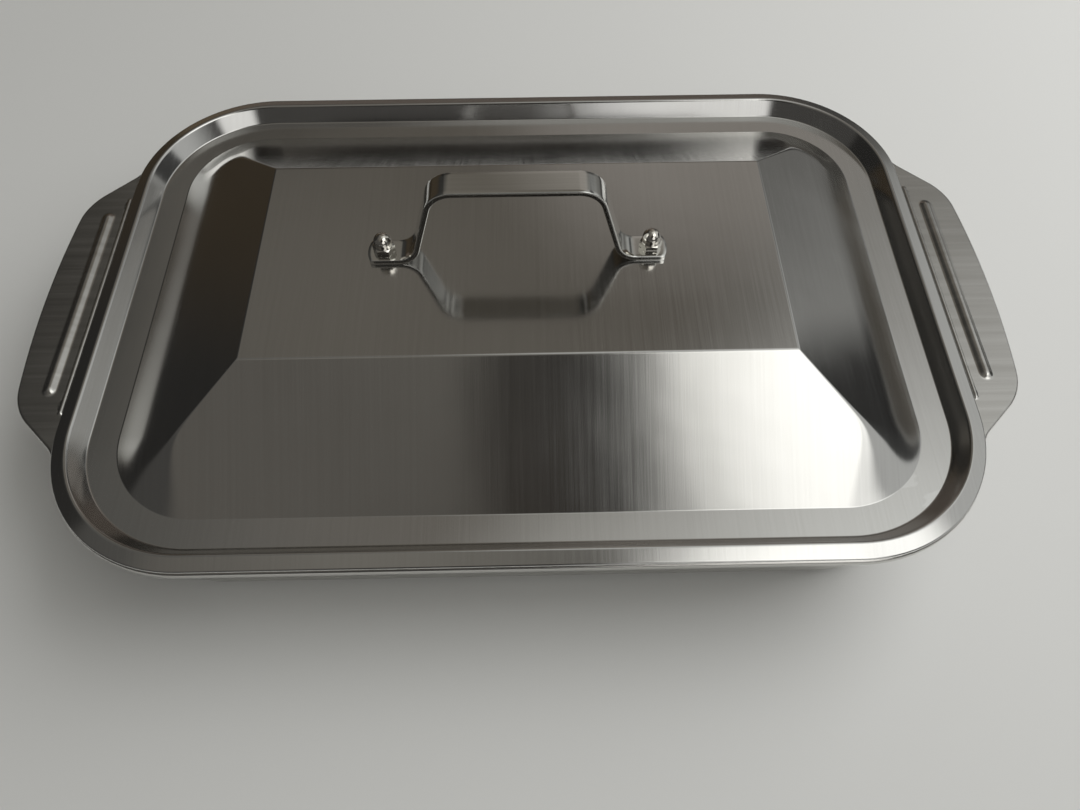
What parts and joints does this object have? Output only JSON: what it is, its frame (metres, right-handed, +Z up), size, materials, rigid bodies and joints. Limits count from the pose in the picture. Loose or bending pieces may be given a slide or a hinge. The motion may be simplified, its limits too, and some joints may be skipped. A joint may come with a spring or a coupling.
{
  "type": "instrument tray",
  "caption": "Covered rectangular steel tray with rounded corners, wing ears on its ends and a hipped lift-off lid with a strap handle.",
  "frame": {"origin": "centre of the pan's floor, on the surface that the tray stands on", "axes": "+X along the tray from ear to ear, +Y across it, +Z up, the way the lid lifts"},
  "size_m": [0.366, 0.2242, 0.1063],
  "materials": {
    "pan_sheet": "satin",
    "lid_sheet": "fine brushed satin",
    "strap_steel": "polished",
    "nut_chrome": "bright",
    "screw_steel": "plain"
  },
  "bodies": {
    "tray": {"tray_pan": "pan_sheet"},
    "lid": {"lid_shell": "lid_sheet", "lid_handle": "strap_steel", "cap_nut_left": "nut_chrome", "cap_nut_right": "nut_chrome", "handle_screw_left": "screw_steel", "handle_screw_right": "screw_steel", "screw_washer_left": "screw_steel", "screw_washer_right": "screw_steel"}
  },
  "joints": [
    {"name": "lid_lift", "type": "slide", "parent": "tray", "child": "lid", "axis": [0, 0, 1], "range_m": [0, 0.12]}
  ]
}
